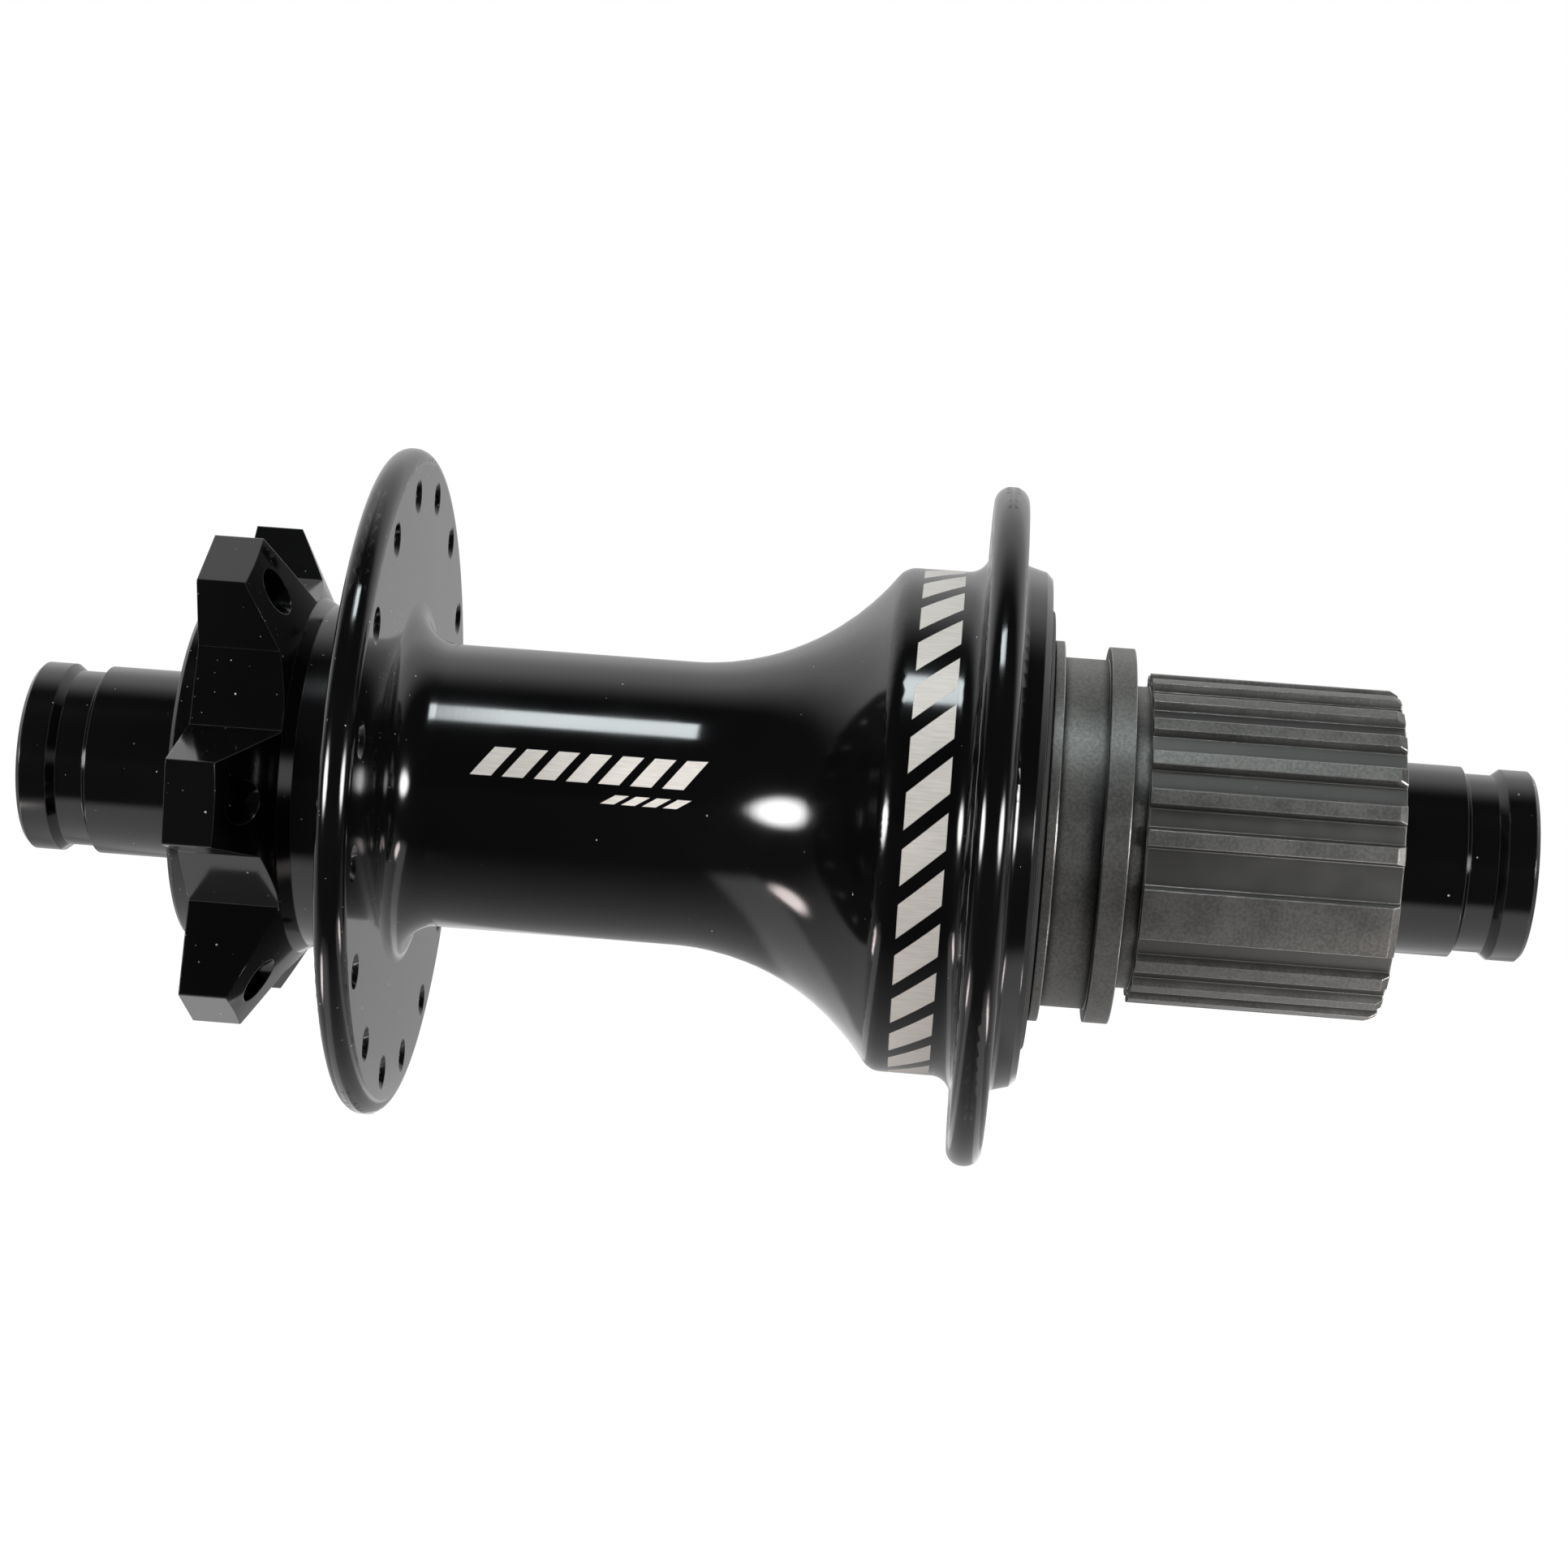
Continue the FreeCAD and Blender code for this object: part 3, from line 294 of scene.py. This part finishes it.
def axis_place(make):
    """That point's X, Y and Z, and its distance from the axle's middle line."""
    axes = make.axes("Object")
    flat = make.add("ShaderNodeCombineXYZ", {"X": axes["X"], "Z": axes["Z"]}).outputs[0]
    radius = make.add("ShaderNodeVectorMath", {0: flat}, operation="LENGTH").outputs["Value"]
    return axes, radius


def noise(make, point, scale, detail=3.0):
    """Noise of about one blotch per 1 / scale metres."""
    return make.add("ShaderNodeTexNoise", {"Vector": point, "Scale": scale, "Detail": detail}).outputs["Fac"]


def streaks(make, point, along, across):
    """Noise with this many blotches per metre along the axle and across it."""
    drawn_out = make.add("ShaderNodeMapping", {"Vector": point, "Scale": (across, along, across)})
    return noise(make, drawn_out.outputs[0], 1.0)


def turning_marks(make, axes, radius, pitch):
    """Fine rings left by a lathe, as a height from 0 to 1."""
    profile = make.add("ShaderNodeCombineXYZ", {"X": radius, "Y": axes["Y"]}).outputs[0]
    return noise(make, profile, 1 / pitch, 2.0)


def rounded(make, height, depth, radius):
    """Normal with slightly rounded edges and a fine relief, and how near the point is to an edge."""
    soft = make.add("ShaderNodeBevel", {"Radius": radius}, samples=4).outputs[0]
    true = make.add("ShaderNodeNewGeometry").outputs["Normal"]
    alike = make.add("ShaderNodeVectorMath", {0: soft, 1: true}, operation="DOT_PRODUCT").outputs["Value"]
    bump = make.add("ShaderNodeBump", {"Strength": 1.0, "Distance": depth, "Height": height, "Normal": soft})
    return bump.outputs[0], make.ramp(alike, *EDGE_TURN)


def dust(make, point, cell, share, size):
    """Specks up to size in radius. share is the part of the cells that hold one in a drift."""
    cells = make.add("ShaderNodeTexVoronoi", {"Vector": point, "Scale": 1 / cell})
    luck = make.add("ShaderNodeSeparateColor", {0: cells.outputs["Color"]}).outputs
    near = make.maths("LESS_THAN", cells.outputs["Distance"], make.product(luck["Green"], size / cell))
    drift = make.ramp(noise(make, point, DRIFT_SCALE, 1.0), *DRIFT_EDGE, DRIFT_THIN, 1.0)
    chosen = make.maths("LESS_THAN", luck["Red"], make.product(drift, share))
    shown = make.maths("ADD", make.maths("POWER", luck["Blue"], FAINT_POWER), FAINTEST, clamp=True)
    return make.product(near, chosen, shown)


# ---------------------------------------------------------------- print on the shell

# Softness of a bar's edges, as a share of a bar's pitch or length.
PRINT_SOFT = 0.012
BAR_LEAN = 0.7
# Share of the pitch that a bar takes up.
BAR_FILL = 0.66
DRUM_PRINT = (-0.0173, -0.0133)
DRUM_BARS = 30
# Rows of bars on the tube: stations along the axle, turns about it, and the number of bars.
TUBE_ROWS = [
    ((0.0280, 0.0064), (0.014, 0.046), 7),
    ((0.0155, 0.0075), (-0.007, 0.003), 4),
]


def bars(make, along, across, count, ends):
    """Leaning bars. along counts 0 to 1 over the row, and across 0 to 1 over a bar's length.

    A row with ends stops there. One without them runs on all round the shell.
    """
    lean = make.product(make.maths("SUBTRACT", across, 0.5), BAR_LEAN)
    place = make.maths("ADD", make.product(along, count), lean)
    low, high = (1 - BAR_FILL) / 2, (1 + BAR_FILL) / 2
    ink = make.product(make.within(make.maths("FRACT", place), low, high, PRINT_SOFT),
                       make.within(across, 0.0, 1.0, PRINT_SOFT))
    if ends:
        ink = make.product(ink, make.within(place, 0.0, count, PRINT_SOFT))
    return ink


def shell_print(make, axes):
    """Plain graphics: leaning bars all round the drum and two short rows of them on the tube."""
    behind = make.product(axes["X"], -1.0)
    turns = make.maths("DIVIDE", make.maths("ARCTAN2", axes["Z"], behind), math.tau)
    ink = bars(make, turns, make.share(axes["Y"], *DRUM_PRINT), DRUM_BARS, ends=False)
    for (start, end), (low, high), count in TUBE_ROWS:
        row = bars(make, make.share(axes["Y"], start, end), make.share(turns, high, low), count, ends=True)
        ink = make.maths("MAXIMUM", ink, row)
    return ink


# ---------------------------------------------------------------- gloss black finish

BLACK = (0.0016, 0.0016, 0.0018, 1)
BLACK_CLOUD = (0.0034, 0.0034, 0.0038, 1)
BLACK_CLOUD_SCALE = 90.0
BLACK_MARK_PITCH = 0.00022
BLACK_MARK_DEPTH = 0.0000011
BLACK_EDGE_RADIUS = 0.00016
BLACK_ROUGHNESS = (0.09, 0.13)
# Edges are lightened towards bare metal, partly as wear and partly as a painted highlight: a little
# everywhere, and more at the shoulder next to the freehub.
BARE_METAL_AND_HIGHLIGHT = (0.16, 0.16, 0.165, 1)
EDGE_WEAR_AND_HIGHLIGHT = 0.22
SHOULDER = (-0.0280, -0.0255)
SHOULDER_SOFT = 0.0002
SHOULDER_WEAR = 0.6
# The dust thickens between these stations, towards the brake end.
DUSTIER = (0.026, 0.042)
BLACK_DUST_SHARE = (0.12, 0.75)
BLACK_DUST_CELL = 0.0008
BLACK_DUST_SIZE = 0.00011
BLACK_DUST = (0.55, 0.54, 0.52, 1)
# The print is brushed: blotches per metre along the axle and across it.
PRINT_STREAKS = (400, 9000)
PRINT_DARK = (0.62, 0.575, 0.53, 1)
PRINT_LIGHT = (0.98, 0.92, 0.86, 1)
PRINT_ROUGHNESS = 0.42


def black_anodised(name, printed):
    """Gloss black with turning marks, edges lightened as wear and as a painted highlight, and dust. With
    printed, the shell's print too.
    """
    material, make = new_material(name)
    point = rest_point(make)
    axes, radius = axis_place(make)
    cloud = noise(make, point, BLACK_CLOUD_SCALE)
    marks = turning_marks(make, axes, radius, BLACK_MARK_PITCH)
    normal, edge = rounded(make, marks, BLACK_MARK_DEPTH, BLACK_EDGE_RADIUS)
    colour = make.blend(cloud, BLACK, BLACK_CLOUD)
    shoulder = make.product(make.within(axes["Y"], *SHOULDER, SHOULDER_SOFT), SHOULDER_WEAR)
    # Painted highlight, with wear: edges are lightened towards bare metal.
    wear_and_highlight = make.product(edge, make.maths("ADD", shoulder, EDGE_WEAR_AND_HIGHLIGHT))
    colour = make.blend(wear_and_highlight, colour, BARE_METAL_AND_HIGHLIGHT)
    roughness = make.ramp(cloud, *NOISE_SPREAD, *BLACK_ROUGHNESS)
    if printed:
        ink = shell_print(make, axes)
        pale = make.blend(streaks(make, point, *PRINT_STREAKS), PRINT_DARK, PRINT_LIGHT)
        colour = make.blend(ink, colour, pale)
        roughness = make.ramp(ink, 0.0, 1.0, roughness, PRINT_ROUGHNESS)
    share = make.ramp(axes["Y"], *DUSTIER, *BLACK_DUST_SHARE)
    specks = dust(make, point, BLACK_DUST_CELL, share, BLACK_DUST_SIZE)
    colour = make.blend(specks, colour, BLACK_DUST)
    finish_material(make, Base_Color=colour, Roughness=roughness, Normal=normal, IOR=1.5)
    return material


# ---------------------------------------------------------------- freehub finish

ALLOY_DARK = (0.112, 0.111, 0.106, 1)
ALLOY_LIGHT = (0.168, 0.165, 0.157, 1)
ALLOY_METALLIC = 0.8
ALLOY_CLOUD_SCALE = 260.0
ALLOY_SPECKLE_SCALE = 3200.0
# Share of the mottle that is cloud. The rest is speckle.
CLOUD_SHARE = 0.35
MOTTLE_SPREAD = (0.35, 0.65)
# Machining marks: blotches per metre along the axle and across it.
ALLOY_STREAKS = (900, 9000)
ALLOY_MARK_DEPTH = 0.000003
ALLOY_EDGE_RADIUS = 0.00020
ALLOY_ROUGHNESS = (0.42, 0.50)
# Edges are lightened, partly as polished wear and partly as a painted glint of the side lights.
WORN_GLINT_EDGE = (0.6, 0.59, 0.57, 1)
WORN_GLINT_SHARE = 0.85
BRIGHT_EDGE_ROUGHNESS = 0.55
# Radii between which a spline's groove turns from its floor, darkened with painted shade, to its plain top,
# and their stations.
GROOVE_FLOOR = (0.0156, 0.0161)
SPLINES = (-0.0603, -0.0362)
SPLINE_SOFT = 0.0002
GROOVE_FLOOR_SHADE = (0.096, 0.095, 0.091, 1)
# Painted shade in the roots: how far it looks for a wall, and how open a point is where the shade is full
# and gone.
ROOT_REACH = 0.0012
ROOT_OPEN = (0.50, 0.92)
ROOT_SHADE = (0.008, 0.008, 0.008, 1)
ALLOY_DUST = (0.5, 0.49, 0.47, 1)
ALLOY_DUST_SHARE = 0.25
# Sparser, finer dust than on the gloss black.
FINE_DUST_CELL = 0.0012
FINE_DUST_SIZE = 0.00008


def freehub_alloy():
    """Satin grey hard anodising with fine machining marks, edges lightened as wear and as a painted glint,
    and grooves darkened with painted shade.
    """
    material, make = new_material("freehub_alloy")
    point = rest_point(make)
    axes, radius = axis_place(make)
    normal, edge = rounded(make, streaks(make, point, *ALLOY_STREAKS), ALLOY_MARK_DEPTH, ALLOY_EDGE_RADIUS)
    cloud = noise(make, point, ALLOY_CLOUD_SCALE)
    speckle = noise(make, point, ALLOY_SPECKLE_SCALE, 2.0)
    mottle = make.maths("ADD", make.product(cloud, CLOUD_SHARE), make.product(speckle, 1 - CLOUD_SHARE))
    colour = make.blend(make.ramp(mottle, *MOTTLE_SPREAD), ALLOY_DARK, ALLOY_LIGHT)
    # Painted shade: the groove floors between the splines are darkened by their depth.
    floor = make.product(make.ramp(radius, *GROOVE_FLOOR, 1.0, 0.0),
                         make.within(axes["Y"], *SPLINES, SPLINE_SOFT))
    colour = make.blend(floor, colour, GROOVE_FLOOR_SHADE)
    # Painted shade: ambient occlusion darkens the colour where walls close in.
    roots = make.add("ShaderNodeAmbientOcclusion", {"Distance": ROOT_REACH}, samples=8, only_local=True)
    colour = make.blend(make.ramp(roots.outputs["AO"], *ROOT_OPEN), ROOT_SHADE, colour)
    # Painted glint, with wear: the rounded edges are lightened.
    colour = make.blend(make.product(edge, WORN_GLINT_SHARE), colour, WORN_GLINT_EDGE)
    specks = dust(make, point, FINE_DUST_CELL, ALLOY_DUST_SHARE, FINE_DUST_SIZE)
    colour = make.blend(specks, colour, ALLOY_DUST)
    roughness = make.product(make.ramp(cloud, *NOISE_SPREAD, *ALLOY_ROUGHNESS),
                             make.ramp(edge, 0.0, 1.0, 1.0, BRIGHT_EDGE_ROUGHNESS))
    finish_material(make, Base_Color=colour, Roughness=roughness, Metallic=ALLOY_METALLIC, Normal=normal)
    return material


# ---------------------------------------------------------------- plain finishes inside

INNER_EDGE_RADIUS = 0.0001
STAIN_SCALE = 240.0
# A metal's stains, worn edges and spread of roughness, as factors of its shade and roughness.
STAIN_SHADE = 0.8
EDGE_SHADE = 1.5
EDGE_SHARE = 0.5
METAL_ROUGHNESS = (0.8, 1.25)
# Sums of the stains' and the marks' noise between which the roughness changes.
METAL_SPREAD = (0.7, 1.3)
# Depth of turning marks and of a moulded grain, as a share of their pitch.
MARK_DEPTH_SHARE = 1 / 60
GRAIN_DEPTH_SHARE = 1 / 12
PLASTIC_CLOUD_SCALE = 200.0
PLASTIC_ROUGHNESS = (0.85, 1.15)
PLASTIC_DUST = (0.4, 0.39, 0.37, 1)
PLASTIC_DUST_SHARE = 0.12


def plain_metal(name, shade, rough, pitch):
    """Bare metal with turning marks and slight stains."""
    material, make = new_material(name)
    point = rest_point(make)
    axes, radius = axis_place(make)
    stains = noise(make, point, STAIN_SCALE, 5.0)
    marks = turning_marks(make, axes, radius, pitch)
    normal, edge = rounded(make, marks, pitch * MARK_DEPTH_SHARE, INNER_EDGE_RADIUS)
    colour = make.blend(stains, grey(shade * STAIN_SHADE), grey(shade))
    colour = make.blend(make.product(edge, EDGE_SHARE), colour, grey(min(1.0, shade * EDGE_SHADE)))
    smooth, coarse = METAL_ROUGHNESS
    roughness = make.ramp(make.maths("ADD", stains, marks), *METAL_SPREAD, rough * smooth, rough * coarse)
    finish_material(make, Base_Color=colour, Roughness=roughness, Metallic=1.0, Normal=normal)
    return material


def soft_plastic(name, dark, light, rough, grain):
    """Rubber or nylon with a fine moulded grain and a little dust."""
    material, make = new_material(name)
    point = rest_point(make)
    cloud = noise(make, point, PLASTIC_CLOUD_SCALE)
    pores = noise(make, point, 1 / grain, 4.0)
    normal = rounded(make, pores, grain * GRAIN_DEPTH_SHARE, INNER_EDGE_RADIUS)[0]
    colour = make.blend(make.product(cloud, pores), dark, light)
    specks = dust(make, point, FINE_DUST_CELL, PLASTIC_DUST_SHARE, FINE_DUST_SIZE)
    colour = make.blend(specks, colour, PLASTIC_DUST)
    smooth, coarse = PLASTIC_ROUGHNESS
    roughness = make.ramp(pores, *NOISE_SPREAD, rough * smooth, rough * coarse)
    finish_material(make, Base_Color=colour, Roughness=roughness, Normal=normal)
    return material


# ---------------------------------------------------------------- putting the finishes on

NYLON_DARK = (0.20, 0.13, 0.06, 1)
NYLON_LIGHT = (0.5, 0.36, 0.2, 1)
RUBBER_DARK = grey(0.010)
RUBBER_LIGHT = grey(0.045)


def dress():
    """Gives every CAD node the finish of its slot, and the shell the printed black instead."""
    finishes = {
        "black_anodised": black_anodised("black_anodised", printed=False),
        "freehub_alloy": freehub_alloy(),
        "plain_alloy": plain_metal("plain_alloy", shade=0.75, rough=0.3, pitch=0.00020),
        "hardened_steel": plain_metal("hardened_steel", shade=0.35, rough=0.35, pitch=0.00012),
        "bearing_steel": plain_metal("bearing_steel", shade=0.62, rough=0.15, pitch=0.00008),
        "cage_plastic": soft_plastic("cage_plastic", NYLON_DARK, NYLON_LIGHT, rough=0.5, grain=0.00015),
        "black_rubber": soft_plastic("black_rubber", RUBBER_DARK, RUBBER_LIGHT, rough=0.6, grain=0.00010),
    }
    shell_finish = black_anodised("printed_black_anodised", printed=True)
    for name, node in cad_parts.items():
        for slot in node.material_slots:
            key = slot.material.name.split(".")[0]
            slot.material = shell_finish if name == "hub_shell" else finishes[key]


make_camera()
make_world()
make_floor()
make_lights()
dress()
bpy.context.scene.view_settings.view_transform = "Standard"
